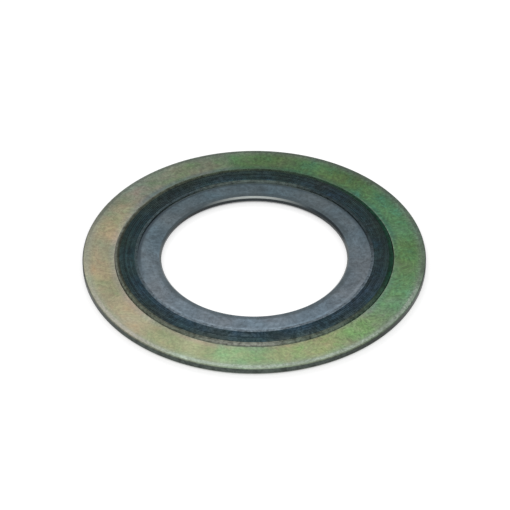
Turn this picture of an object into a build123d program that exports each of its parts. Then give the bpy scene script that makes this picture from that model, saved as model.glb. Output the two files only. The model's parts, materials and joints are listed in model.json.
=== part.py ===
from build123d import *
import os
from math import atan, cos, radians, sin

# Spiral wound flange gasket with an inner ring and a guide ring, after the sizes of a
# 3 inch class 300 flange. Millimetres. The pipe axis is +Z, and the origin is the centre
# of the bore on the gasket's mid-plane.

os.makedirs("parts", exist_ok=True)

# Driving dimensions of the three rings, measured along a radius
bore_diameter = 81.0
inner_ring_width = 10.3  # bore to the first bare ply
winding_width = 9.55  # across both faces' metal edges
guide_ring_width = 14.35  # last bare ply to the outer edge
ring_thickness = 3.0  # both solid rings
bore_bevel = 0.8
rim_bevel = 0.35  # on the guide ring's outer edge

# Driving dimensions of the wound band
hoop_width = 4.5  # the metal strip stands on edge, so this is its height
hoop_thickness = 0.2
vee_depth = 0.9  # the strip's middle bulges outwards by this
bare_inner_plies = 6
bare_outer_plies = 8
filler_turns = 8
turns_drawn_as_one = 2  # neighbouring filled turns merged into one of their total thickness
filler_proud = 0.1  # the graphite stands this far above the metal on each face
jog_angle = 40.0  # each turn steps out to the next one within this angle
ring_clearance = 0.1  # between the winding's vee and each solid ring

# Worked out from the above
winding_inner_radius = bore_diameter / 2 + inner_ring_width
winding_outer_radius = winding_inner_radius + winding_width
outer_radius = winding_outer_radius + guide_ring_width
ridge_radius = winding_inner_radius - ring_clearance  # inner ring's rim, at the hoop's edges' height
groove_radius = winding_outer_radius + ring_clearance  # guide ring's bore, at the same height
half_hoop = hoop_width / 2
half_ring = ring_thickness / 2
half_filler = half_hoop + filler_proud
ply = hoop_thickness / cos(atan(vee_depth / half_hoop))  # a leaning strip is thicker along a radius

drawn_turns = max(1, round(filler_turns / turns_drawn_as_one))
metal_between = turns_drawn_as_one * ply
filled_width = winding_width - (bare_inner_plies + bare_outer_plies) * ply
filler_thickness = (filled_width - (drawn_turns - 1) * metal_between) / drawn_turns
pitch = filler_thickness + metal_between


def lean(height):
    """How far the vee carries any ply outwards at this height from the mid-plane."""
    return vee_depth * (1 - abs(height) / half_hoop)


def chevron(inner, outer, half_height):
    """Corners of the section of nested plies: a band between two radii, bent outwards at its middle."""
    return [
        (inner + lean(half_height), -half_height),
        (outer + lean(half_height), -half_height),
        (outer + vee_depth, 0),
        (outer + lean(half_height), half_height),
        (inner + lean(half_height), half_height),
        (inner + vee_depth, 0),
    ]


# Guide ring: a flat steel washer whose bore is turned to a vee groove. The winding's
# outermost ply bulges into the groove, so the ring centres the gasket inside the
# flange's bolts and stops the band from bursting outwards.
with BuildPart() as guide_ring:
    with BuildSketch(Plane.XZ):
        with BuildLine():
            Polyline(
                (outer_radius, -half_ring),
                (outer_radius, half_ring),
                (groove_radius + lean(half_ring), half_ring),
                (groove_radius + vee_depth, 0),
                (groove_radius + lean(half_ring), -half_ring),
                close=True,
            )
        make_face()
    revolve(axis=Axis.Z)
    rim_edges = guide_ring.edges().filter_by(GeomType.CIRCLE).sort_by(SortBy.RADIUS)[-2:]
    chamfer(rim_edges, length=rim_bevel)

# Inner ring: a flat steel washer whose rim is turned to a vee ridge, nested in the hollow
# of the winding's first ply. Both edges of its bore are bevelled.
with BuildPart() as inner_ring:
    with BuildSketch(Plane.XZ):
        with BuildLine():
            Polyline(
                (bore_diameter / 2, -half_ring),
                (bore_diameter / 2, half_ring),
                (ridge_radius + lean(half_ring), half_ring),
                (ridge_radius + vee_depth, 0),
                (ridge_radius + lean(half_ring), -half_ring),
                close=True,
            )
        make_face()
    revolve(axis=Axis.Z)
    bore_edges = inner_ring.edges().filter_by(GeomType.CIRCLE).sort_by(SortBy.RADIUS)[:2]
    chamfer(bore_edges, length=bore_bevel)

# Route of the graphite filler, along the middle of its section. A turn is a circle about
# the pipe axis, left out over the jog angle, where two tangent arcs of half that angle
# each carry the strip out by one pitch: a flat arc that leaves the circle, and a tight
# one that meets the next circle. Their centres lie at jog_offset from the pipe axis.
section_middle = (filler_thickness + vee_depth) / 2
first_turn_radius = winding_inner_radius + bare_inner_plies * ply + section_middle
half_jog = jog_angle / 2
jog_offset = pitch / (2 * (1 - cos(radians(half_jog))))
jog_direction = (cos(radians(jog_angle)), sin(radians(jog_angle)))
tight_arc_centre = (jog_offset * jog_direction[0], jog_offset * jog_direction[1])

with BuildLine() as filler_route:
    for turn in range(drawn_turns):
        turn_radius = first_turn_radius + turn * pitch
        CenterArc((0, 0), turn_radius, jog_angle, 360 - jog_angle)
        if turn < drawn_turns - 1:
            CenterArc((-jog_offset, 0), turn_radius + jog_offset, 0, half_jog)
            CenterArc(tight_arc_centre, turn_radius + pitch - jog_offset, half_jog, half_jog)

# Filler strip: one length of flexible graphite, the same vee section all the way, wound
# in between the metal plies and cut square at both ends.
with BuildPart() as filler_strip:
    route = filler_route.wire()
    start_plane = Plane(origin=route @ 0, x_dir=(*jog_direction, 0), z_dir=route % 0)
    with BuildSketch(start_plane):
        section = chevron(-section_middle, filler_thickness - section_middle, half_filler)
        Polygon(*section, align=None)
    sweep(path=route)

# Metal strip: one length of thin stainless hoop. Its first and last turns lie ply on ply
# without filler and are spot welded into two closed bands, and the turns between them
# carry the filler, so the strip is the whole band less the filler's spiral.
with BuildPart() as winding_strip:
    with BuildSketch(Plane.XZ):
        Polygon(*chevron(winding_inner_radius, winding_outer_radius, half_hoop), align=None)
    revolve(axis=Axis.Z)
    add(filler_strip.part, mode=Mode.SUBTRACT)

pieces = {
    "guide_ring": guide_ring,
    "inner_ring": inner_ring,
    "winding_strip": winding_strip,
    "filler_strip": filler_strip,
}
for name, piece in pieces.items():
    piece.part.label = name
    export_step(piece.part, f"parts/{name}.step")
    print(name, "volume", round(piece.part.volume), "mm3")
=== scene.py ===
# %% [markdown]
# # A spiral wound gasket, lying flat
#
# The real thing is four pieces: a wide steel guide ring with a yellow-green chromate
# finish, a thin vee-shaped stainless strip wound up together with a graphite strip, and a
# plain steel ring round the bore. The two solid rings are turned again here, with finer
# steps and softened edges. The wound band is made ply by ply, because its fine concentric
# edges are what the eye reads as "wound".

# %% Load the CAD model as a fixed frame
import json
import math

import bpy
import numpy as np
from mathutils import Matrix, Vector


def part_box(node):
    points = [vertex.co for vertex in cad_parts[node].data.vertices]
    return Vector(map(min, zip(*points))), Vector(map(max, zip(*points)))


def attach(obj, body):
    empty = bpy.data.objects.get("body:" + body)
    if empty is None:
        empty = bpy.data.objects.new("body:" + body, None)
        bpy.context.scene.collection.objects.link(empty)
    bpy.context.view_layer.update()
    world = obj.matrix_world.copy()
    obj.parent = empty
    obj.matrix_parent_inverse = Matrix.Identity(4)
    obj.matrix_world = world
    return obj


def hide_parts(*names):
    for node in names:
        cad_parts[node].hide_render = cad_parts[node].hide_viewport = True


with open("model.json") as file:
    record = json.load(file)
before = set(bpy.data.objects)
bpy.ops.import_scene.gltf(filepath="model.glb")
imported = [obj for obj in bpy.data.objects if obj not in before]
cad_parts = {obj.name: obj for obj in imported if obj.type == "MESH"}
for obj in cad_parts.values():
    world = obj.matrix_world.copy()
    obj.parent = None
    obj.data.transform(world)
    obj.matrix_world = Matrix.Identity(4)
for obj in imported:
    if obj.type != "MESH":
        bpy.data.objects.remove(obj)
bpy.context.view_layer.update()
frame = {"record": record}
MM = 0.001

# %% [markdown]
# ## Sizes
#
# The frame gives what it can: two mounts give the radii of the bore and the rim, and the
# boxes of the CAD nodes give the heights and the winding's radii. Only what neither shows
# is stated here: the depth of the vee, the clearance, and the thickness of one ply.

# %% Radii and heights, from the frame
mount_sizes = {mount["name"]: mount["dims"] for mount in frame["record"]["mounts"]}
bore_radius = mount_sizes["flange_bore"]["r_mm"] * MM
rim_radius = mount_sizes["outer_rim"]["r_mm"] * MM


def reach(node):
    """Largest radius of a round CAD node about the pipe axis, read from its box."""
    return max(abs(value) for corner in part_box(node) for value in corner[:2])


vee_depth = 0.9 * MM
ring_clearance = 0.1 * MM
hoop_thickness = 0.2 * MM
band_outer = reach("winding_strip") - vee_depth
band_inner = reach("inner_ring") + ring_clearance - vee_depth
ring_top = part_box("guide_ring")[1].z
hoop_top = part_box("winding_strip")[1].z
filler_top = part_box("filler_strip")[1].z
ply_pitch = hoop_thickness / math.cos(math.atan(vee_depth / hoop_top))
print(f"bore {bore_radius / MM:.2f}, band {band_inner / MM:.2f} to {band_outer / MM:.2f},"
      f" rim {rim_radius / MM:.2f} mm, one ply {ply_pitch / MM:.3f} mm along a radius")

# %% [markdown]
# ## Camera
#
# A long lens far away keeps both ends of the ring nearly the same size. The camera looks
# down at a little under 40 degrees, and its aim is a millimetre off the centre of the bore.

# %% Camera
camera_elevation = math.radians(39.4)
camera_distance = 1.3
camera_lens = 210.8
camera_roll = math.radians(0.2)
aim = Vector((0.33 * MM, 0.65 * MM, 0.8 * MM))

camera_data = bpy.data.cameras.new("camera")
camera_data.lens = camera_lens
camera_data.sensor_width = 36.0
camera = bpy.data.objects.new("camera", camera_data)
bpy.context.scene.collection.objects.link(camera)
backwards = Vector((0.0, -math.cos(camera_elevation), math.sin(camera_elevation)))
camera.location = aim + backwards * camera_distance
turn = (-backwards).to_track_quat("-Z", "Y").to_matrix() @ Matrix.Rotation(-camera_roll, 3, "Z")
camera.rotation_euler = turn.to_euler()
bpy.context.scene.camera = camera
print("camera at", [round(value, 3) for value in camera.location])

# %% [markdown]
# ## A section carried round the pipe axis
#
# Rings and strips are the same kind of surface: a closed section, carried along a route
# round the pipe axis. A spun copy or a Screw modifier would make a plain ring but not a
# winding that steps outwards, so one function works out the whole grid of points instead:
# the route gives a radius for each angle, and the section adds its own offsets to it.

# %% Make a mesh from a grid of points
def mesh_from_grid(name, points, closed_route):
    """A closed tube from points[i, j]: i steps along the route, j steps round the section.

    The section runs anticlockwise, seen with the radius to the right and the pipe axis up,
    so that the faces look outwards. Where the route closes, the last section joins the
    first, and otherwise both ends get a flat cap.
    """
    stations, corners = points.shape[:2]
    index = np.arange(stations * corners).reshape(stations, corners)
    route = np.vstack([index, index[:1]]) if closed_route else index
    here, onward = route[:-1], route[1:]
    quads = np.stack(
        [here, onward, np.roll(onward, -1, axis=1), np.roll(here, -1, axis=1)], axis=-1
    ).reshape(-1, 4)
    faces = quads.tolist()
    if not closed_route:
        faces.append(index[0].tolist())
        faces.append(index[-1][::-1].tolist())
    mesh = bpy.data.meshes.new(name)
    mesh.from_pydata(points.reshape(-1, 3), [], faces)
    mesh.shade_smooth()
    mesh.set_sharp_from_angle(angle=math.radians(50))
    piece = bpy.data.objects.new(name, mesh)
    bpy.context.scene.collection.objects.link(piece)
    print(f"{name}: {len(mesh.polygons)} faces")
    return piece


def carry_section(name, angles, section, radii=0.0, thickness=0.0, lift=0.0, closed_route=False):
    """Carries a section round the pipe axis.

    Each corner of the section is (u, v, share). At angle a it lies at the radius
    r(a) + u + share * thickness(a) and the height v + lift(a), so a strip can change its
    thickness on the way: x = radius cos a, y = radius sin a, z = height.
    """
    across, up, share = section.T[:, None, :]
    radii, thickness, lift = (np.broadcast_to(value, angles.shape)[:, None]
                              for value in (radii, thickness, lift))
    radius = radii + across + share * thickness
    height = lift + up
    points = np.stack(
        [radius * np.cos(angles)[:, None], radius * np.sin(angles)[:, None], height], axis=-1
    )
    return mesh_from_grid(name, points, closed_route)


# %% [markdown]
# ## The two solid rings
#
# Both rings are cut from 3 mm plate. The guide ring has a vee groove in its bore, which the
# outer plies sit in, and the inner ring has a vee ridge to match round its rim. The CAD
# nodes have the right section, but their circles are some 120 straight facets and their
# edges are knife sharp. A real edge is a little round, which is what catches a thin line of
# light, so both rings are made again with 720 steps and with each corner softened.

# %% Soften the corners of a section
def soften(corners, radius):
    """Rounds each corner of a closed outline and keeps its faces flat up to the rounding.

    Each corner becomes a quadratic curve from a point one radius before it to a point one
    radius after it: p = (1-t)^2 a + 2t(1-t) corner + t^2 b. An extra point one more radius
    away on each side holds the flat face flat, so that smooth shading stays in the edge.
    """
    corners = np.asarray(corners)
    before = np.roll(corners, 1, axis=0) - corners
    after = np.roll(corners, -1, axis=0) - corners
    before = before / np.linalg.norm(before, axis=1, keepdims=True)
    after = after / np.linalg.norm(after, axis=1, keepdims=True)
    first, last = corners + radius * before, corners + radius * after
    t = np.linspace(0.0, 1.0, 4)[None, :, None]
    a, corner, b = first[:, None], corners[:, None], last[:, None]
    curve = (1 - t) ** 2 * a + 2 * t * (1 - t) * corner + t**2 * b
    holds = [(corners + 2 * radius * way)[:, None] for way in (before, after)]
    outline = np.concatenate([holds[0], curve, holds[1]], axis=1).reshape(-1, 2)
    return np.column_stack([outline, np.zeros(len(outline))])


# %% Turn the rings
ring_steps = 720
ring_angles = np.linspace(0.0, 2 * math.pi, ring_steps, endpoint=False)
rim_bevel = 0.35 * MM
bore_bevel = 0.8 * MM
edge_rounding = 0.06 * MM
guide_bore = band_outer + ring_clearance
inner_rim = band_inner - ring_clearance
ring_vee = vee_depth * ring_top / hoop_top
groove_edge = guide_bore + vee_depth - ring_vee
face_edge = inner_rim + vee_depth - ring_vee

guide_section = soften(
    [
        (groove_edge, -ring_top),
        (rim_radius - rim_bevel, -ring_top),
        (rim_radius, -ring_top + rim_bevel),
        (rim_radius, ring_top - rim_bevel),
        (rim_radius - rim_bevel, ring_top),
        (groove_edge, ring_top),
        (guide_bore + vee_depth, 0.0),
    ],
    edge_rounding,
)
inner_section = soften(
    [
        (bore_radius + bore_bevel, -ring_top),
        (face_edge, -ring_top),
        (inner_rim + vee_depth, 0.0),
        (face_edge, ring_top),
        (bore_radius + bore_bevel, ring_top),
        (bore_radius, ring_top - bore_bevel),
        (bore_radius, -ring_top + bore_bevel),
    ],
    edge_rounding,
)
guide_ring = carry_section("guide_ring_turned", ring_angles, guide_section, closed_route=True)
inner_ring = carry_section("inner_ring_turned", ring_angles, inner_section, closed_route=True)
for ring, node, slot in (
    (guide_ring, "guide_ring", "chromated_steel"),
    (inner_ring, "inner_ring", "stainless_ring"),
):
    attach(ring, "root")
    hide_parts(node)

# %% [markdown]
# ## How the strips are wound
#
# The winder lays the hoop strip on edge. It starts with six bare plies, then graphite
# runs in with it for eight turns, and it ends with eight bare plies. Each turn is a circle,
# and within one short stretch it steps out by its own thickness to lie on the turn below.

# %% Radii of every turn
bare_inner_plies = 6
bare_outer_plies = 8
filler_turns = 8
jog = math.radians(40.0)
steps_per_turn = 256

filled_width = band_outer - band_inner - (bare_inner_plies + bare_outer_plies) * ply_pitch
filler_thickness = (filled_width - (filler_turns - 1) * ply_pitch) / filler_turns
first_filler = band_inner + bare_inner_plies * ply_pitch
filler_radii = first_filler + np.arange(filler_turns) * (filler_thickness + ply_pitch)
hoop_radii = np.concatenate([
    band_inner + np.arange(bare_inner_plies) * ply_pitch,
    filler_radii + filler_thickness,
    band_outer - np.arange(bare_outer_plies - 1, 0, -1) * ply_pitch,
])
print(len(hoop_radii), "turns of hoop strip,", filler_turns, "turns of graphite",
      f"{filler_thickness / MM:.3f} mm thick")


def hoop_radius(angle):
    """Radius of the hoop strip's inner face at this angle, counted on from turn to turn.

    Within the jog at the start of turn n the radius eases from the one before to its own:
    r = r[n-1] + (r[n] - r[n-1]) (1 - cos(pi s)) / 2, with s running 0 to 1 over the jog.
    """
    turn = np.clip(np.floor(angle / (2 * math.pi) + 1e-9).astype(int), 0, len(hoop_radii) - 1)
    before = np.maximum(turn - 1, 0)
    s = np.clip((angle - turn * 2 * math.pi) / jog, 0.0, 1.0)
    ease = (1 - np.cos(np.pi * s)) / 2
    return hoop_radii[before] + (hoop_radii[turn] - hoop_radii[before]) * ease


def strip_angles(first, last):
    """Evenly spaced angles along a strip."""
    steps = int(round((last - first) / (2 * math.pi) * steps_per_turn))
    return np.linspace(first, last, steps + 1)


# %% [markdown]
# ## The hoop strip
#
# The strip is 0.2 mm of stainless rolled to a shallow vee, so that its turns nest and
# spring. One ply's section is a thin chevron with rounded edges. The plies don't line up
# perfectly on a real gasket, so each one's edges wander up and down by a hundredth or two
# of a millimetre, which is enough to catch the light in separate fine lines.

# %% Section of one ply
def lean(height):
    """How far the vee carries a ply outwards: nothing at its edges, all in the middle."""
    return vee_depth * (1 - np.abs(height) / hoop_top)


def vee_section(top, rounding, bulge, shares):
    """Closed outline of a vee strip, anticlockwise from below, as corners (u, v, share).

    The shares say where the edge's corners lie across the strip's thickness, from 0 to 1.
    The outer corners are cut back by the rounding, and the middle bulges up.
    """
    height = top + np.array([-1.0, -0.3, 0.0, -0.3, -1.0]) * rounding
    height[2] = top + bulge
    lower = np.column_stack([lean(height), -height, shares])
    upper = np.column_stack([lean(height), height, shares])[::-1]
    return np.concatenate([lower, [[vee_depth, 0.0, 1.0]], upper, [[vee_depth, 0.0, 0.0]]])


rng = np.random.default_rng(7)


def wander(angles, waves, height):
    """A smooth random curve: a sum of slow sine waves, cut off at twice the height."""
    frequency = rng.uniform(0.2, 5.0, waves)[:, None]
    phase = rng.uniform(0.0, 2 * math.pi, waves)[:, None]
    curve = height * np.sin(frequency * angles[None, :] + phase).sum(axis=0) / math.sqrt(waves)
    return np.clip(curve, -2 * height, 2 * height)


def keep_length(piece, angles, radii, section):
    """Stores how far along its strip each point lies, in metres, for a finish to follow."""
    along = np.concatenate([[0.0], np.cumsum(np.diff(angles) * (radii[1:] + radii[:-1]) / 2)])
    attribute = piece.data.attributes.new("along_strip", "FLOAT", "POINT")
    attribute.data.foreach_set("value", np.repeat(along, len(section)).astype(np.float32))


# %% Wind the hoop strip
ply_gap = 0.02 * MM
hoop_low = 0.03 * MM
hoop_shares = np.array([0.0, 0.12, 0.5, 0.88, 1.0])
hoop_section = vee_section(hoop_top - hoop_low, 0.07 * MM, 0.01 * MM, hoop_shares)
hoop_angles = strip_angles(0.0, 2 * math.pi * len(hoop_radii))
hoop_route = hoop_radius(hoop_angles)
hoop_lift = wander(hoop_angles, 24, 0.008 * MM)
hoop_plies = carry_section("hoop_plies", hoop_angles, hoop_section, hoop_route,
                           ply_pitch - ply_gap, hoop_lift)
keep_length(hoop_plies, hoop_angles, hoop_route, hoop_section)
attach(hoop_plies, "root")
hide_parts("winding_strip")

# %% [markdown]
# ## The graphite filler
#
# Flexible graphite is soft and fills whatever room the plies leave it. So its inner face is
# the outer face of the ply below, and its outer face is the ply above: at both ends, where
# the plies come together, it thins out to nothing. Squeezed between the plies, its edge
# swells up in a low, slightly ragged bead, about a tenth of a millimetre above the metal.

# %% Wind the graphite
filler_low = 0.06 * MM
thinnest = 0.05 * MM
filler_shares = np.array([0.0, 0.08, 0.5, 0.92, 1.0])
filler_section = vee_section(filler_top - filler_low, 0.10 * MM, 0.03 * MM, filler_shares)
filler_angles = strip_angles(0.0, 2 * math.pi * filler_turns + jog)
below = hoop_radius(filler_angles + 2 * math.pi * (bare_inner_plies - 1)) + ply_pitch
room = hoop_radius(filler_angles + 2 * math.pi * bare_inner_plies) - below
thick_enough = room > thinnest
filler_angles, below, room = filler_angles[thick_enough], below[thick_enough], room[thick_enough]
filler_lift = wander(filler_angles, 24, 0.012 * MM)
graphite = carry_section("graphite_filler", filler_angles, filler_section, below,
                         room - ply_gap, filler_lift)
keep_length(graphite, filler_angles, below, filler_section)
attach(graphite, "root")
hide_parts("filler_strip")

# %% [markdown]
# ## Shader helpers
#
# Node trees get long, so small helpers place a node and wire it in one line. A value given
# to them is a number, a colour or another node's output.

# %% Helpers: nodes and sums
def set_inputs(tree, node, values):
    """Sets or links a node's inputs, each given by name or number."""
    for name, value in values.items():
        if isinstance(value, bpy.types.NodeSocket):
            tree.links.new(value, node.inputs[name])
        else:
            node.inputs[name].default_value = value


def add_node(tree, kind, values=None, **settings):
    """Adds a node, sets its own settings, sets or links its inputs, and returns its outputs."""
    node = tree.nodes.new("ShaderNode" + kind)
    for name, value in settings.items():
        setattr(node, name, value)
    set_inputs(tree, node, values or {})
    return node.outputs


def maths(tree, operation, first, second=0.0, third=0.0, clamp=False):
    """One maths node; returns its output."""
    values = {0: first, 1: second, 2: third}
    return add_node(tree, "Math", values, operation=operation, use_clamp=clamp)[0]


def product(tree, *values):
    """All the values multiplied together."""
    result = values[0]
    for value in values[1:]:
        result = maths(tree, "MULTIPLY", result, value)
    return result


def rescale(tree, value, gain, base, clamp=False):
    """The value times a gain, plus a base."""
    return maths(tree, "MULTIPLY_ADD", value, gain, base, clamp)


# %% Helpers: noises and masks
def vary(tree, base, noise, amount):
    """Adds a 0 to 1 noise to a value: base + (noise - 1/2) amount."""
    return rescale(tree, maths(tree, "SUBTRACT", noise, 0.5), amount, base)


def vary_tone(tree, tone, *noises):
    """Multiplies a tone by 1 + (noise - 1/2) amount, for each (noise, amount)."""
    for noise, amount in noises:
        tone = product(tree, tone, vary(tree, 1.0, noise, amount))
    return tone


def stretch(tree, noise, contrast):
    """Stretches a noise about its middle, and keeps it between 0 and 1."""
    return rescale(tree, maths(tree, "SUBTRACT", noise, 0.5), contrast, 0.5, clamp=True)


def step_at(tree, value, start, end):
    """0 before the start, 1 after the end, smooth between; the start may be the larger one."""
    values = {"Value": value, "From Min": start, "From Max": end}
    return add_node(tree, "MapRange", values, interpolation_type="SMOOTHSTEP")[0]


def between(tree, value, low, high, fade):
    """1 where a value lies between two limits, fading to 0 outside them."""
    above = step_at(tree, value, low - fade, low)
    return product(tree, above, step_at(tree, value, high + fade, high))


def flat_height(tree, place):
    """Height above or below the middle plane, the same for both faces of the gasket."""
    return maths(tree, "ABSOLUTE", add_node(tree, "SeparateXYZ", {0: place})["Z"])


# %% Helpers: colours
def with_alpha(colour):
    """An (r, g, b) as the four numbers of a colour input; an output stays as it is."""
    return (*colour, 1.0) if isinstance(colour, tuple) else colour


def mix_colour(tree, amount, first, second, blend="MIX"):
    """Mixes two colours: the first where the amount is 0, the second where it is 1."""
    values = {0: amount, 6: with_alpha(first), 7: with_alpha(second)}
    return add_node(tree, "Mix", values, data_type="RGBA", blend_type=blend)[2]


def multiply(tree, colour, tint):
    """Multiplies a colour by a tint."""
    return mix_colour(tree, 1.0, colour, tint, "MULTIPLY")


def brighten(tree, colour, factor):
    """Multiplies a colour by a factor that varies over the surface."""
    return multiply(tree, colour, add_node(tree, "CombineColor", {0: factor, 1: factor, 2: factor})[0])


def colour_ramp(tree, factor, stops):
    """A colour ramp with the given (position, (r, g, b)) stops."""
    node = tree.nodes.new("ShaderNodeValToRGB")
    set_inputs(tree, node, {0: factor})
    ramp = node.color_ramp
    while len(ramp.elements) < len(stops):
        ramp.elements.new(0.5)
    for element, (position, colour) in zip(ramp.elements, stops):
        element.position = position
        element.color = with_alpha(colour)
    return node.outputs["Color"]


# %% Helpers: groups
def new_group(name, inputs, outputs):
    """A node group with named inputs (a default each) and outputs (a kind each).

    A default of one number makes a number input, of three a vector and of four a colour.
    Returns the group's tree, its inputs and its output node.
    """
    tree = bpy.data.node_groups.new(name, "ShaderNodeTree")
    kinds = {3: "NodeSocketVector", 4: "NodeSocketColor"}
    for label, default in inputs.items():
        kind = kinds[len(default)] if isinstance(default, tuple) else "NodeSocketFloat"
        socket = tree.interface.new_socket(label, in_out="INPUT", socket_type=kind)
        socket.default_value = default
    for label, kind in outputs.items():
        tree.interface.new_socket(label, in_out="OUTPUT", socket_type="NodeSocket" + kind)
    print("node group:", name)
    return tree, tree.nodes.new("NodeGroupInput").outputs, tree.nodes.new("NodeGroupOutput")


def use_group(tree, group, values):
    """Places a node group and sets or links its inputs; returns its outputs."""
    return add_node(tree, "Group", values, node_tree=group)


# %% [markdown]
# ## Turning marks
#
# All the metal here was faced on a lathe or slit from strip, so it carries fine concentric
# lines. A one-dimensional noise read along the radius gives rings of random strength, and a
# slow noise over the surface fades them in and out as real tool marks do. They are a node
# group, because two finishes need them, and every mask needs the radius in mm it works out.

# %% Group: turning marks
origin = (0.0, 0.0, 0.0)
tree, given, group_out = new_group(
    "turning marks", {"Vector": origin, "Lines per mm": 2.0, "Fading": 0.5},
    {"Radius mm": "Float", "Lines": "Float"})
split = add_node(tree, "SeparateXYZ", {0: given["Vector"]})
flat = add_node(tree, "CombineXYZ", {0: split["X"], 1: split["Y"]})[0]
length = add_node(tree, "VectorMath", {0: flat}, operation="LENGTH")["Value"]
radius = product(tree, length, 1 / MM)
line = product(tree, radius, given["Lines per mm"])
lines = add_node(tree, "TexNoise", {"W": line, "Scale": 1.0, "Detail": 3.0, "Roughness": 0.75},
                 noise_dimensions="1D")["Fac"]
fade = add_node(tree, "TexNoise", {"Vector": given["Vector"], "Scale": 90.0, "Detail": 2.0})["Fac"]
strength = maths(tree, "SUBTRACT", 1.0, product(tree, given["Fading"], fade))
set_inputs(tree, group_out, {"Radius mm": radius, "Lines": vary(tree, 0.5, lines, strength)})
turning_marks = tree

# %% [markdown]
# ## Mottle
#
# Handling, drying marks and uneven film make every metal surface a little patchy. Noise at
# one size alone looks like camouflage, so the patches' edges are bent by a second noise, and
# small specks come from a third. A fourth, very fine, is a grain for the bump.

# %% Group: mottle
tree, given, group_out = new_group(
    "mottle", {"Vector": origin, "Scale": 60.0, "Speck scale": 600.0, "Contrast": 1.0},
    {"Patches": "Float", "Specks": "Float", "Grain": "Float"})
bend = (10 * MM, 10 * MM, 10 * MM)
warp = add_node(tree, "TexNoise", {"Vector": given["Vector"], "Scale": 70.0, "Detail": 3.0})["Color"]
warped = add_node(tree, "VectorMath", {0: warp, 1: bend, 2: given["Vector"]},
                  operation="MULTIPLY_ADD")[0]
for label, scale, detail, roughness in (
    ("Patches", given["Scale"], 5.0, 0.6),
    ("Specks", given["Speck scale"], 4.0, 0.7),
):
    noise = add_node(tree, "TexNoise", {"Vector": warped, "Scale": scale, "Detail": detail,
                                        "Roughness": roughness})["Fac"]
    set_inputs(tree, group_out, {label: stretch(tree, noise, given["Contrast"])})
grain = add_node(tree, "TexNoise", {"Vector": given["Vector"], "Scale": 4000.0, "Detail": 3.0})["Fac"]
set_inputs(tree, group_out, {"Grain": grain})
mottle = tree


def use_mottle(tree, place, scale, specks, contrast=3.0):
    """The mottle in a material; returns its outputs."""
    return use_group(tree, mottle, {"Vector": place, "Scale": scale, "Speck scale": specks,
                                    "Contrast": contrast})


# %% [markdown]
# ## Tint patches
#
# Films, oil and smeared graphite drift in hue as well as in brightness, over a centimetre or
# two. The group gives a tint that wanders between a warm and a cool one, both close to
# white, and a material multiplies its colour by it. It also gives a cloud, a second slow
# noise for the brightness. The seed moves both, so that two pieces side by side don't drift
# together.

# %% Group: tint patches
tree, given, group_out = new_group(
    "tint patches",
    {"Vector": origin, "Scale": 40.0, "Seed": 0.0, "Warm": (1.1, 1.0, 0.8, 1.0),
     "Cool": (0.9, 1.0, 1.2, 1.0)},
    {"Tint": "Color", "Cloud": "Float"})


def slow_noise(shift):
    """A 0 to 1 noise over the surface; the shift picks another one with the same seed."""
    seed = maths(tree, "ADD", given["Seed"], shift)
    values = {"Vector": given["Vector"], "W": seed, "Scale": given["Scale"], "Detail": 2.0}
    noise = add_node(tree, "TexNoise", values, noise_dimensions="4D")["Fac"]
    return stretch(tree, noise, 3.5)


tint = mix_colour(tree, slow_noise(0.0), given["Cool"], given["Warm"])
set_inputs(tree, group_out, {"Tint": tint, "Cloud": slow_noise(5.0)})
tint_patches = tree


def use_tints(tree, place, scale, seed, warm, cool):
    """The tint patches in a material; returns their outputs."""
    return use_group(tree, tint_patches, {"Vector": place, "Scale": scale, "Seed": seed,
                                          "Warm": with_alpha(warm), "Cool": with_alpha(cool)})


# %% [markdown]
# ## Sides of the gasket
#
# The bath, the hands and the wear left each side of the gasket its own look, and the painted
# light and shade also differ from side to side, so every material needs masks that pick out
# one side. This group takes a side as an angle seen from above: 0 is the front, 90 the right
# and 180 the back. It measures how far a point lies towards that side, and whether it lies in
# a sector about it. Everything comes from one direction, (sin side, -cos side), and the dot
# product with it.

# %% Group: side of the gasket
tree, given, group_out = new_group(
    "side of the gasket", {"Vector": origin, "Side": 0.0, "Half width": 20.0, "Fade": 20.0},
    {"Towards": "Float", "Sector": "Float"})
side = maths(tree, "RADIANS", given["Side"])
y_share = product(tree, maths(tree, "COSINE", side), -1.0)
to_side = add_node(tree, "CombineXYZ", {0: maths(tree, "SINE", side), 1: y_share})[0]
direction = add_node(tree, "VectorMath", {0: given["Vector"]}, operation="NORMALIZE")[0]
distance, cosine = (
    add_node(tree, "VectorMath", {0: vector, 1: to_side}, operation="DOT_PRODUCT")["Value"]
    for vector in (given["Vector"], direction))
half_width = maths(tree, "RADIANS", given["Half width"])
full_width = maths(tree, "ADD", half_width, maths(tree, "RADIANS", given["Fade"]))
none, full = maths(tree, "COSINE", full_width), maths(tree, "COSINE", half_width)
set_inputs(tree, group_out, {"Towards": maths(tree, "DIVIDE", distance, rim_radius),
                             "Sector": step_at(tree, cosine, none, full)})
gasket_side = tree


# %% Helpers: towards a side, and in a sector
def towards(tree, place, side):
    """How far a point lies towards a side, from -1 to 1 at the rim."""
    return use_group(tree, gasket_side, {"Vector": place, "Side": side})["Towards"]


def sector(tree, place, side, half_width, fade):
    """1 within half_width degrees of a side, falling to 0 over the fade beyond it."""
    values = {"Vector": place, "Side": side, "Half width": half_width, "Fade": fade}
    return use_group(tree, gasket_side, values)["Sector"]


def paint_sides(tree, place, colour, stretches):
    """Paints each named stretch of a ring: (side, half_width, fade, colour)."""
    for *where, paint in stretches.values():
        colour = mix_colour(tree, sector(tree, place, *where), colour, paint)
    return colour


def tint_sides(tree, place, colour, stretches):
    """Gives each named stretch of a ring its own cast: (side, half_width, fade, tint)."""
    for *where, tint in stretches.values():
        tinted = multiply(tree, colour, tint)
        colour = mix_colour(tree, sector(tree, place, *where), colour, tinted)
    return colour


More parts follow.
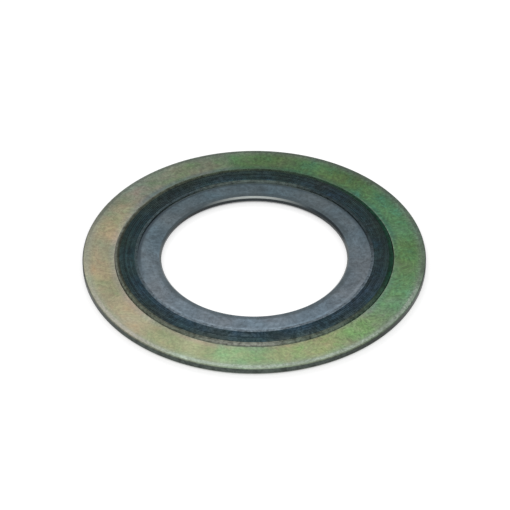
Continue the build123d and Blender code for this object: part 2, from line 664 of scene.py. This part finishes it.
# %% [markdown]
# ## Starting a material
#
# Every material here begins the same way, with a Principled BSDF and the Object coordinates
# that the patterns over its surface read. Most end with a bump from one of the patterns.

# %% Helpers: a new material and a bump
def new_material(name):
    """A material with a shader and an output; returns it, its tree, shader and coordinates."""
    material = bpy.data.materials.new(name)
    material.use_nodes = True
    tree = material.node_tree
    tree.nodes.clear()
    shader = tree.nodes.new("ShaderNodeBsdfPrincipled")
    add_node(tree, "OutputMaterial", {0: shader.outputs[0]})
    print("material:", name)
    return material, tree, shader, add_node(tree, "TexCoord")["Object"]


def bump(tree, height, strength, depth):
    """The normal of a surface that a pattern raises by up to the depth."""
    return add_node(tree, "Bump", {"Height": height, "Strength": strength, "Distance": depth})[0]


# %% [markdown]
# ## The guide ring: chromate film
#
# Yellow chromate is a film a fraction of a micron thick, and its colour changes with its
# thickness: tan and pinkish gold where it is thin, olive, then green where it is thick. So
# the material works out one number, the film's thickness, and turns it into colour with a
# ramp. The film is thin on one side of the ring and thick on the other, as the ring hung in
# the bath, with patches and specks on top. Where the bath drained off unevenly, a few
# stretches of the ring have a cast of their own.

# %% Chromate: thickness, colour and tone of the film, with painted light
film_ramp = [
    (0.00, (0.240, 0.182, 0.108)),
    (0.14, (0.214, 0.188, 0.122)),
    (0.28, (0.198, 0.196, 0.120)),
    (0.44, (0.156, 0.195, 0.112)),
    (0.62, (0.113, 0.193, 0.086)),
    (0.78, (0.090, 0.193, 0.068)),
    (0.90, (0.074, 0.190, 0.082)),
    (1.00, (0.060, 0.182, 0.100)),
]
film_casts = {
    "green front": (2, 8, 16, (0.88, 1.03, 0.98)),
    "gold front right": (28, 10, 18, (1.26, 1.05, 0.96)),
    "blue right": (62, 8, 16, (1.00, 1.03, 1.32)),
    "teal back right": (112, 6, 14, (0.86, 1.00, 1.22)),
    "grey back left": (212, 10, 20, (0.90, 0.89, 1.10)),
    "tan left": (242, 8, 18, (1.08, 0.98, 1.03)),
    "green front left": (341, 10, 18, (0.93, 1.08, 1.00)),
}


def film_thickness(tree, place, spots, fine_spots):
    """The film's thickness, 0 to 1: a slope across the ring, plus centred patches and specks."""
    film = rescale(tree, towards(tree, place, 112), 0.38, 0.52)
    film = vary(tree, film, spots["Patches"], 0.30)
    film = vary(tree, film, fine_spots["Patches"], 0.10)
    return vary(tree, film, spots["Specks"], 0.05)


def film_colour(tree, place, film, drift):
    """The ramp's colour for this thickness, drifting in hue most where the film is thick."""
    drifting = rescale(tree, film, 0.60, 0.45, clamp=True)
    colour = colour_ramp(tree, film, film_ramp)
    colour = mix_colour(tree, drifting, colour, drift["Tint"], "MULTIPLY")
    return tint_sides(tree, place, colour, film_casts)


def film_tone_and_painted_light(tree, place, film, spots, fine_spots, drift, marks):
    """Brightness: painted light, highest towards the front left; blotchier where the film is thick."""
    # painted light: lighter towards the front left, darker towards the back right
    tone = rescale(tree, towards(tree, place, 335), 0.36, 0.90)
    blotchy = rescale(tree, film, 0.44, 0.32)
    return vary_tone(tree, tone, (spots["Specks"], blotchy), (fine_spots["Specks"], blotchy),
                     (drift["Cloud"], 0.34), (marks["Lines"], 0.35))


# %% [markdown]
# ## The guide ring: wear, edges and painted light
#
# Beside the winding the film is greyer, and at the back it is darker, with painted shade and
# graphite. Towards the rim it thins out, and handling has taken it off along both edges,
# which show as paler lines; along the rim at the front that line is also a painted highlight.
# The rim itself was sheared, so it is rough and dull under its plating, and it is painted
# darker away from the front, as painted shade. Its bevel is painted dark away from the front,
# as a painted dark reflection, with a wider dark line round the back. Each of these is a
# mask by distance from an edge, most of them times a sector, and paints over what is below
# it.

# %% Chromate: layers at the two edges
greyed_film = (0.97, 1.00, 1.20)
greyed_film_front = (1.17, 0.96, 1.17)
# painted shade with graphite: darkens the greyed film at the back
painted_shade_and_graphite = (0.68, 0.80, 0.84)
thin_film = (0.150, 0.182, 0.148)
# bare steel along both edges; along the rim at the front it is also a painted highlight
worn_steel_and_highlight = (0.210, 0.250, 0.208)
worn_steel_and_highlight_left = (0.238, 0.228, 0.196)
# painted dark edge: a painted dark reflection on the bevel, and a dark line round the back
painted_dark_edge = (0.040, 0.048, 0.042)
rim_plating = (0.066, 0.082, 0.072)
bevel_top = ring_top - 0.25 * MM
wall_top = ring_top - 0.45 * MM


def grey_by_winding(tree, place, from_winding, colour):
    """Greys the film beside the winding, pinker at the front, darker at the back with painted shade
    and graphite.
    """
    beside = mix_colour(tree, sector(tree, place, 8, 30, 24), greyed_film, greyed_film_front)
    greyed = multiply(tree, colour, beside)
    shaded_back = multiply(tree, greyed, painted_shade_and_graphite)
    greyed = mix_colour(tree, sector(tree, place, 165, 55, 25), greyed, shaded_back)
    return mix_colour(tree, step_at(tree, from_winding, 4.05, 1.05), colour, greyed)


def wear_and_highlight_lines(tree, place, from_rim, from_winding, specks):
    """Mask of wear and painted highlight: a line inside the rim, mostly at the front, and one at the
    bore.
    """
    front = rescale(tree, sector(tree, place, 3, 61, 20), 0.66, 0.10)
    left = rescale(tree, sector(tree, place, 267, 24, 30), 0.10, 0.40)
    rim_line = product(tree, between(tree, from_rim, 0.7, 1.8, 0.8), front)
    bore_line = product(tree, step_at(tree, from_winding, 1.05, 0.45), left)
    lines = maths(tree, "MAXIMUM", rim_line, bore_line)
    return maths(tree, "MULTIPLY", lines, vary(tree, 1.0, specks, 0.7), clamp=True)


def dark_edge(tree, place, from_rim):
    """Mask of the dark edge: the bevel as a painted dark reflection, less at the front, and a wider
    line round the back.
    """
    back = product(tree, sector(tree, place, 168, 79, 27), 0.45)
    back_line = product(tree, between(tree, from_rim, -0.3, 1.7, 0.5), back)
    not_front = rescale(tree, sector(tree, place, 0, 62, 20), -0.75, 1.0)
    bevel = product(tree, step_at(tree, from_rim, 0.6, 0.3), not_front)
    return maths(tree, "MAXIMUM", back_line, bevel)


def sheared_rim_and_painted_shade(tree, place, specks):
    """The rim wall's rough colour: mottled, and darker away from the front as painted shade."""
    rough = brighten(tree, rim_plating, vary(tree, 1.0, specks, 0.9))
    # painted shade: full brightness at the front, about half elsewhere
    return brighten(tree, rough, rescale(tree, sector(tree, place, 350, 14, 42), 0.48, 0.52))


# %% Material: chromated steel
def chromate_material():
    material, tree, shader, place = new_material("chromate on steel")
    marks = use_group(tree, turning_marks, {"Vector": place, "Lines per mm": 1.6, "Fading": 0.8})
    spots = use_mottle(tree, place, scale=70.0, specks=520.0, contrast=3.2)
    fine_spots = use_mottle(tree, place, scale=210.0, specks=900.0, contrast=3.2)
    drift = use_tints(tree, place, scale=42.0, seed=1.0, warm=(1.13, 0.985, 0.89),
                      cool=(0.90, 1.02, 1.14))
    from_rim = maths(tree, "SUBTRACT", rim_radius / MM, marks["Radius mm"])
    from_winding = maths(tree, "SUBTRACT", marks["Radius mm"], guide_bore / MM)

    film = film_thickness(tree, place, spots, fine_spots)
    tone = film_tone_and_painted_light(tree, place, film, spots, fine_spots, drift, marks)
    colour = brighten(tree, film_colour(tree, place, film, drift), tone)
    colour = grey_by_winding(tree, place, from_winding, colour)
    thinned = product(tree, step_at(tree, from_rim, 5.2, 1.7), 0.5)
    colour = mix_colour(tree, thinned, colour, brighten(tree, thin_film, tone))
    bare = mix_colour(tree, sector(tree, place, 290, 24, 22), worn_steel_and_highlight, worn_steel_and_highlight_left)
    wear_and_highlight = wear_and_highlight_lines(tree, place, from_rim, from_winding, spots["Specks"])
    colour = mix_colour(tree, wear_and_highlight, colour, brighten(tree, bare, tone))
    colour = mix_colour(tree, dark_edge(tree, place, from_rim), colour, painted_dark_edge)
    wall = step_at(tree, flat_height(tree, place), bevel_top, wall_top)
    colour = mix_colour(tree, wall, colour, sheared_rim_and_painted_shade(tree, place, spots["Specks"]))
    set_inputs(tree, shader, {
        "Base Color": colour, "Metallic": 0.85,
        "Roughness": rescale(tree, spots["Specks"], 0.18, 0.32),
        "Normal": bump(tree, marks["Lines"], 0.2, 0.1 * MM),
    })
    return material


# %% [markdown]
# ## The inner ring: satin stainless
#
# The inner ring is satin stainless, blue-grey, with finer turning marks. Painted light makes
# it brighter towards the front, and brightest there along its outer edge. In places beside
# the winding it is darker, and at the back a painted highlight makes it lighter there. It is
# darker along the bore at the front and at the back. The bevel has the ring's own grey, but
# one stretch at the back has a painted highlight, the one beside it a painted dark
# reflection, and the left and right a fainter painted highlight. The bore's wall is painted
# dark, a painted reflection of the shaded floor under the ring.

# %% Inner ring: satin face, darker stretches, painted light and bevel
# painted light and shade: the steel lit at the front and shaded at the back
shaded_steel_back = (0.051, 0.072, 0.083)
lit_steel_front = (0.087, 0.110, 0.130)
# darker colour beside the winding, in the stretches listed below
dark_beside_winding = (0.026, 0.038, 0.047)
# painted highlight on the ring's edge at the back, beside the winding
back_highlight_steel = (0.150, 0.185, 0.185)
# darker along the bore, at the front and at the back
bore_edge_dark = (0.030, 0.040, 0.043)
bevel_steel = (0.066, 0.084, 0.092)
# painted reflection of the shaded floor under the ring, on the bore's wall
shaded_bore_wall = (0.034, 0.040, 0.042)
darker_stretches_beside_winding = {
    "left": (242, 24, 28, 0.90),
    "back right": (140, 22, 24, 0.50),
    "back": (182, 20, 18, 0.22),
}
# painted light on the bevel: a painted dark reflection at the back right, a painted highlight at the
# back, and fainter painted highlights at the right and left
bevel_painted_light = {
    "dark back right": (122, 8, 20, (0.024, 0.031, 0.035)),
    "bright back": (180, 6, 31, (0.205, 0.222, 0.216)),
    "right": (80, 18, 12, (0.120, 0.140, 0.145)),
    "left": (284, 18, 12, (0.120, 0.140, 0.145)),
}


def satin_face(tree, place, from_winding, marks, spots, drift):
    """Steel painted lit at the front and shaded at the back, with turning marks, specks and slow
    clouds.
    """
    painted_light_front = rescale(tree, towards(tree, place, 5), 0.85, 0.5, clamp=True)
    colour = mix_colour(tree, painted_light_front, shaded_steel_back, lit_steel_front)
    tone = vary_tone(tree, 1.0, (marks["Lines"], 0.6), (spots["Specks"], 0.60),
                     (spots["Patches"], 0.34), (drift["Cloud"], 0.20))
    # painted light: a lighter band beside the winding at the front
    front = sector(tree, place, 10, 40, 32)
    painted_light_band = product(tree, between(tree, from_winding, 0.6, 1.7, 0.5), front)
    tone = product(tree, tone, rescale(tree, painted_light_band, 0.32, 1.0))
    return brighten(tree, multiply(tree, colour, drift["Tint"]), tone)


def face_beside_winding(tree, place, from_winding, colour):
    """Darker stretches beside the winding, and a painted highlight beside it at the back."""
    beside_winding = step_at(tree, from_winding, 2.2, 1.1)
    for *where, amount in darker_stretches_beside_winding.values():
        darker_share = product(tree, sector(tree, place, *where), beside_winding, amount)
        colour = mix_colour(tree, darker_share, colour, dark_beside_winding)
    back = sector(tree, place, 182, 32, 26)
    back_highlight = product(tree, step_at(tree, from_winding, 1.1, 0.5), back, 0.8)
    return mix_colour(tree, back_highlight, colour, back_highlight_steel)


def bore_edge_darkening(tree, place, from_bevel):
    """Mask of the darker band along the bore's bevel, at the front and at the back."""
    front = product(tree, sector(tree, place, 0, 68, 18), 0.55)
    back = product(tree, sector(tree, place, 165, 55, 18), 0.50)
    return product(tree, step_at(tree, from_bevel, 2.6, 1.4), maths(tree, "ADD", front, back))


# %% Material: inner ring
def ring_steel_material():
    material, tree, shader, place = new_material("satin ring steel")
    marks = use_group(tree, turning_marks, {"Vector": place, "Lines per mm": 2.2, "Fading": 0.6})
    spots = use_mottle(tree, place, scale=130.0, specks=620.0)
    drift = use_tints(tree, place, scale=55.0, seed=2.0, warm=(1.08, 0.99, 0.95),
                      cool=(0.93, 1.01, 1.05))
    from_winding = maths(tree, "SUBTRACT", face_edge / MM, marks["Radius mm"])
    from_bevel = maths(tree, "SUBTRACT", marks["Radius mm"], (bore_radius + bore_bevel) / MM)
    from_bore = maths(tree, "SUBTRACT", marks["Radius mm"], bore_radius / MM)

    colour = satin_face(tree, place, from_winding, marks, spots, drift)
    colour = face_beside_winding(tree, place, from_winding, colour)
    colour = mix_colour(tree, bore_edge_darkening(tree, place, from_bevel), colour, bore_edge_dark)
    bevel = paint_sides(tree, place, bevel_steel, bevel_painted_light)
    colour = mix_colour(tree, step_at(tree, from_bevel, 0.05, -0.1), colour, bevel)
    colour = mix_colour(tree, step_at(tree, from_bore, 0.1, 0.02), colour, shaded_bore_wall)
    set_inputs(tree, shader, {
        "Base Color": colour, "Metallic": 0.9, "Roughness": 0.36,
        "Normal": bump(tree, marks["Lines"], 0.25, 0.1 * MM),
    })
    return material


# %% [markdown]
# ## Along the strip
#
# A strip's finish changes along its length, from one turn to the next, so turns that lie
# side by side differ while each stays even for a few millimetres. A pattern on the flat face
# can't do that, but a one-dimensional noise read along the strip can. The meshes carry that
# length as an attribute, and this group turns it into a tone.

# %% Group: strip tone
tree, given, group_out = new_group(
    "strip tone", {"Along strip": 0.0, "Scale": 10.0, "Contrast": 1.0}, {"Tone": "Float"})
noise = add_node(tree, "TexNoise", {"W": given["Along strip"], "Scale": given["Scale"],
                                    "Detail": 3.0, "Roughness": 0.6}, noise_dimensions="1D")["Fac"]
set_inputs(tree, group_out, {"Tone": stretch(tree, noise, given["Contrast"])})
strip_tone = tree


def follow_strip(tree, scale, contrast):
    """The strip tone, fed with how far along its strip each point lies."""
    along = add_node(tree, "Attribute", attribute_name="along_strip")["Fac"]
    return use_group(tree, strip_tone, {"Along strip": along, "Scale": scale,
                                        "Contrast": contrast})["Tone"]


# %% [markdown]
# ## Smeared graphite, with painted light
#
# Graphite rubs off on whatever touches it, so the strip and the filler share one smear: a
# little bluer on the inner turns, browner on the outer ones, with soft patches and a cast of
# its own on each side. Painted light makes it brighter at the front, and a painted highlight
# brighter on the inner turns at the back. Both materials multiply their colour by this
# group's tint.

# %% Group: smear of graphite, with painted light
smear_casts = {
    "warm front right": (28, 10, 16, (1.14, 1.02, 0.99)),
    "blue right": (62, 8, 14, (1.02, 1.05, 1.28)),
    "green right": (88, 8, 12, (0.88, 1.03, 0.98)),
    "dark back right": (120, 12, 18, (0.84, 0.93, 0.93)),
    "violet back right": (143, 8, 12, (1.10, 0.97, 1.10)),
    "brown back left": (208, 10, 16, (1.16, 1.01, 1.00)),
    "teal left": (268, 16, 18, (0.76, 1.03, 1.02)),
    "olive front left": (332, 10, 16, (1.02, 0.93, 0.89)),
}
tree, given, group_out = new_group(
    "graphite smear and painted light", {"Vector": origin, "Radius mm": 55.0}, {"Tint": "Color"})
place = given["Vector"]
inner_turns = step_at(tree, given["Radius mm"], 55.0, 52.5)
outer_turns = step_at(tree, given["Radius mm"], 53.5, 58.5)
# painted light: brighter at the front, and a painted highlight on the inner turns at the back
painted_light = rescale(tree, sector(tree, place, 2, 14, 40), 0.46, 0.82)
back_highlight = product(tree, sector(tree, place, 181, 12, 24), inner_turns)
painted_light = rescale(tree, back_highlight, 0.40, painted_light)
tint = mix_colour(tree, outer_turns, (1.01, 0.98, 1.06), (1.05, 0.98, 0.88))
tint = brighten(tree, tint, painted_light)
drift = use_tints(tree, place, scale=75.0, seed=3.0, warm=(1.20, 0.97, 0.84),
                  cool=(0.84, 1.01, 1.14))
tint = multiply(tree, tint, drift["Tint"])
tint = brighten(tree, tint, vary(tree, 1.0, drift["Cloud"], 0.34))
set_inputs(tree, group_out, {"Tint": tint_sides(tree, place, tint, smear_casts)})
graphite_smear_and_light = tree


def smeared_and_lit(tree, place, radius, colour):
    """A colour under the smear of graphite and its painted light."""
    smear = use_group(tree, graphite_smear_and_light, {"Vector": place, "Radius mm": radius})
    return multiply(tree, colour, smear["Tint"])


# %% [markdown]
# ## The hoop strip's edges
#
# The hoop's edges are stainless like the ring, but graphite smears over the turns that
# carry it, so the strip is dark there. Its bare inner plies have painted highlights, as
# bright as the ring at the front, and are dark at the sides; their flanks are painted
# lighter. Its bare outer plies have a painted highlight at the front and at the left, and
# elsewhere are painted as a dark reflection. One material makes all three, because the
# strip is one piece: each set of plies gets a colour, and the radius chooses between them.

# %% Hoop strip: outer and inner bare plies
# painted dark reflection on the outer plies, lighter at the left than at the right
dark_reflection_right = (0.003, 0.031, 0.016)
dark_reflection_left = (0.071, 0.077, 0.056)
# painted highlight on the outer plies, at the front and at the left
highlight_dull = (0.100, 0.110, 0.092)
highlight_bright = (0.205, 0.210, 0.182)
smeared_dark = (0.006, 0.021, 0.025)
smeared_light = (0.045, 0.082, 0.092)
inner_ply_dark = (0.018, 0.032, 0.037)
# painted light on the flanks, which lie in shade under the top edge, brightest at the back
lit_flank_steel = (0.130, 0.160, 0.160)
highlight_flank_back = (0.340, 0.390, 0.365)
# painted highlights on the inner plies, at the left, back and front
inner_ply_highlights = {
    "left": (248, 28, 20, (0.042, 0.066, 0.074)),
    "back": (181, 14, 20, (0.076, 0.102, 0.092)),
    "front": (11, 60, 36, (0.104, 0.134, 0.158)),
}


def outer_plies(tree, place, from_guide, tone, flank):
    """Plies as a painted dark reflection, with a painted highlight at the front and in the last few
    plies at the left.
    """
    leftwards = rescale(tree, towards(tree, place, 265), 0.6, 0.42, clamp=True)
    dark_reflection = mix_colour(tree, leftwards, dark_reflection_right, dark_reflection_left)
    last_plies = step_at(tree, from_guide, 1.55, 0.15)
    dark_reflection = brighten(tree, dark_reflection, rescale(tree, last_plies, 0.55, 0.80))
    # painted dark reflection: darker at the left, away from the guide ring
    dark_left = product(tree, sector(tree, place, 272, 10, 18), step_at(tree, from_guide, 0.35, 1.35))
    dark_reflection = brighten(tree, dark_reflection, rescale(tree, dark_left, -0.45, 1.0))
    bright = mix_colour(tree, tone, highlight_dull, highlight_bright)
    front = maths(tree, "ADD", product(tree, sector(tree, place, 5, 22, 52), 0.42),
                  product(tree, sector(tree, place, 355, 4, 17), 0.46))
    highlight_mask = product(tree, front, rescale(tree, last_plies, 0.2, 0.9))
    lit_left = product(tree, sector(tree, place, 256, 20, 22), step_at(tree, from_guide, 0.85, 0.15))
    highlight_mask = maths(tree, "MAXIMUM", highlight_mask, lit_left, clamp=True)
    colour = mix_colour(tree, highlight_mask, dark_reflection, bright)
    # painted light: the flanks lighter
    return brighten(tree, colour, rescale(tree, flank, 0.35, 1.0))


def inner_plies(tree, place, flank):
    """Plies beside the ring: dark, with painted highlights on stretches and flanks, brightest at the
    back.
    """
    colour = paint_sides(tree, place, inner_ply_dark, inner_ply_highlights)
    colour = mix_colour(tree, flank, colour, lit_flank_steel)
    highlight_flank = product(tree, flank, sector(tree, place, 181, 14, 20))
    return mix_colour(tree, highlight_flank, colour, highlight_flank_back)


# %% Material: hoop strip
def hoop_material():
    material, tree, shader, place = new_material("hoop strip on edge")
    radius = use_group(tree, turning_marks, {"Vector": place})["Radius mm"]
    spots = use_mottle(tree, place, scale=150.0, specks=560.0)
    tone = follow_strip(tree, 12.0, 3.0)
    flank = step_at(tree, flat_height(tree, place), hoop_top - 0.08 * MM, hoop_top - 0.16 * MM)
    from_guide = maths(tree, "SUBTRACT", band_outer / MM, radius)
    first_outer = hoop_radii[-bare_outer_plies] / MM
    last_inner = hoop_radii[bare_inner_plies] / MM
    outer = step_at(tree, radius, first_outer - 0.2, first_outer + 0.2)
    inner = step_at(tree, radius, last_inner - 0.3, last_inner - 0.5)

    colour = smeared_and_lit(tree, place, radius, mix_colour(tree, tone, smeared_dark, smeared_light))
    colour = mix_colour(tree, outer, colour, outer_plies(tree, place, from_guide, tone, flank))
    colour = mix_colour(tree, inner, colour, inner_plies(tree, place, flank))
    set_inputs(tree, shader, {
        "Base Color": brighten(tree, colour, vary(tree, 1.0, spots["Specks"], 1.2)),
        "Metallic": rescale(tree, outer, 0.14, 0.8), "Roughness": 0.38,
    })
    return material


# %% [markdown]
# ## Graphite
#
# Flexible graphite is nearly black, with a green or a blue cast where it is burnished. So it
# is two ramps, a green and a blue one, read by the same tone, and mixed bluer and lighter
# towards the front as a painted sheen, in patches. A rough plain surface with little gloss
# looks closer than a metal.

# %% Material: graphite
def graphite_material():
    material, tree, shader, place = new_material("flexible graphite")
    spots = use_mottle(tree, place, scale=140.0, specks=560.0)
    tone = vary(tree, follow_strip(tree, 9.0, 2.2), spots["Specks"], 1.1)
    green = colour_ramp(tree, tone, [(0.1, (0.002, 0.012, 0.010)), (0.9, (0.016, 0.044, 0.039))])
    blue = colour_ramp(tree, tone, [(0.1, (0.006, 0.019, 0.028)), (0.9, (0.030, 0.060, 0.078))])
    # painted sheen: bluer and lighter towards the front
    painted_light_front = rescale(tree, towards(tree, place, 350), 0.5, 0.45)
    patchy = maths(tree, "ADD", vary(tree, painted_light_front, spots["Patches"], 0.8), 0.0, clamp=True)
    radius = use_group(tree, turning_marks, {"Vector": place})["Radius mm"]
    set_inputs(tree, shader, {
        "Base Color": smeared_and_lit(tree, place, radius, mix_colour(tree, patchy, green, blue)),
        "Roughness": 0.55, "Specular IOR Level": 0.12,
        "Normal": bump(tree, spots["Grain"], 0.4, 0.05 * MM),
    })
    return material


# %% Put the materials on
for piece, material in (
    (guide_ring, chromate_material()),
    (inner_ring, ring_steel_material()),
    (hoop_plies, hoop_material()),
    (graphite, graphite_material()),
):
    piece.data.materials.append(material)

# %% [markdown]
# ## Floor and light
#
# The gasket lies on a white table. The floor is a plain white sheet that adds a little
# light of its own where the camera or a reflection looks at it, so that it reads as white
# and still keeps the gasket's soft shadow. That added light would also fill the narrow gap
# under the rings, where hardly any real light gets in, so the camera sees less of it there.
# Seen from below the floor is clear, so that the underside can be looked at too. The room
# is white, with one soft lamp high behind the gasket, like a window, and one in front.

# %% Floor
floor_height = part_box("filler_strip")[0].z
floor_reach = 3.0
floor_mesh = bpy.data.meshes.new("floor")
floor_mesh.from_pydata(
    [(across * floor_reach, along * floor_reach, floor_height)
     for across, along in ((-1, -1), (1, -1), (1, 1), (-1, 1))],
    [], [(0, 1, 2, 3)])
floor = bpy.data.objects.new("floor", floor_mesh)
bpy.context.scene.collection.objects.link(floor)


def seen_directly(tree):
    """1 for a ray from the camera, off a polished surface or through glass, else 0."""
    rays = add_node(tree, "LightPath")
    glossy = maths(tree, "MAXIMUM", rays["Is Glossy Ray"], rays["Is Transmission Ray"])
    return maths(tree, "MAXIMUM", rays["Is Camera Ray"], glossy)


# %% Material: white table
white = (1.0, 1.0, 1.0, 1.0)
table_grey = (0.55, 0.55, 0.55, 1.0)
own_light = 0.58
gap_shade = 0.50
gap_from = bore_radius / MM + 2.1
gap_to = rim_radius / MM - 1.7
gap_fade = 1.4

floor_material = bpy.data.materials.new("white table")
floor_material.use_nodes = True
tree = floor_material.node_tree
tree.nodes.clear()
place = add_node(tree, "TexCoord")["Object"]
radius = use_group(tree, turning_marks, {"Vector": place})["Radius mm"]
gap = between(tree, radius, gap_from, gap_to, gap_fade)
shade = product(tree, gap, add_node(tree, "LightPath")["Is Camera Ray"], -gap_shade)
strength = rescale(tree, seen_directly(tree), own_light, shade)
paint = add_node(tree, "BsdfDiffuse", {"Color": table_grey})[0]
glow = add_node(tree, "Emission", {"Color": white, "Strength": strength})[0]
both = add_node(tree, "AddShader", {0: paint, 1: glow})[0]
clear = add_node(tree, "BsdfTransparent")[0]
under = add_node(tree, "NewGeometry")["Backfacing"]
surface = add_node(tree, "MixShader", {0: under, 1: both, 2: clear})[0]
add_node(tree, "OutputMaterial", {0: surface})
floor_mesh.materials.append(floor_material)

# %% World
room_light = 0.72
world = bpy.data.worlds.new("studio")
bpy.context.scene.world = world
world.use_nodes = True
tree = world.node_tree
tree.nodes.clear()
room = add_node(tree, "Background", {"Color": white, "Strength": room_light})[0]
backdrop = add_node(tree, "Background", {"Color": white, "Strength": 1.0})[0]
surface = add_node(tree, "MixShader", {0: seen_directly(tree), 1: room, 2: backdrop})[0]
add_node(tree, "OutputWorld", {0: surface})


# %% Lamps
def softbox(name, place, size, brightness):
    """A rectangular lamp facing the gasket; its power is pi x area x brightness."""
    light = bpy.data.lights.new(name, "AREA")
    light.shape = "RECTANGLE"
    light.size, light.size_y = size
    light.energy = math.pi * size[0] * size[1] * brightness
    lamp = bpy.data.objects.new(name, light)
    bpy.context.scene.collection.objects.link(lamp)
    lamp.location = place
    lamp.rotation_euler = (-Vector(place)).to_track_quat("-Z", "Y").to_euler()
    print(f"{name}: {light.energy:.2f} W")


softbox("window", (-0.16, 0.56, 0.72), (0.60, 0.36), 1.8)
softbox("front light", (0.0, -0.62, 0.75), (0.70, 0.30), 2.6)

bpy.context.scene.view_settings.view_transform = "Standard"

# %% Finish
bpy.context.view_layer.update()
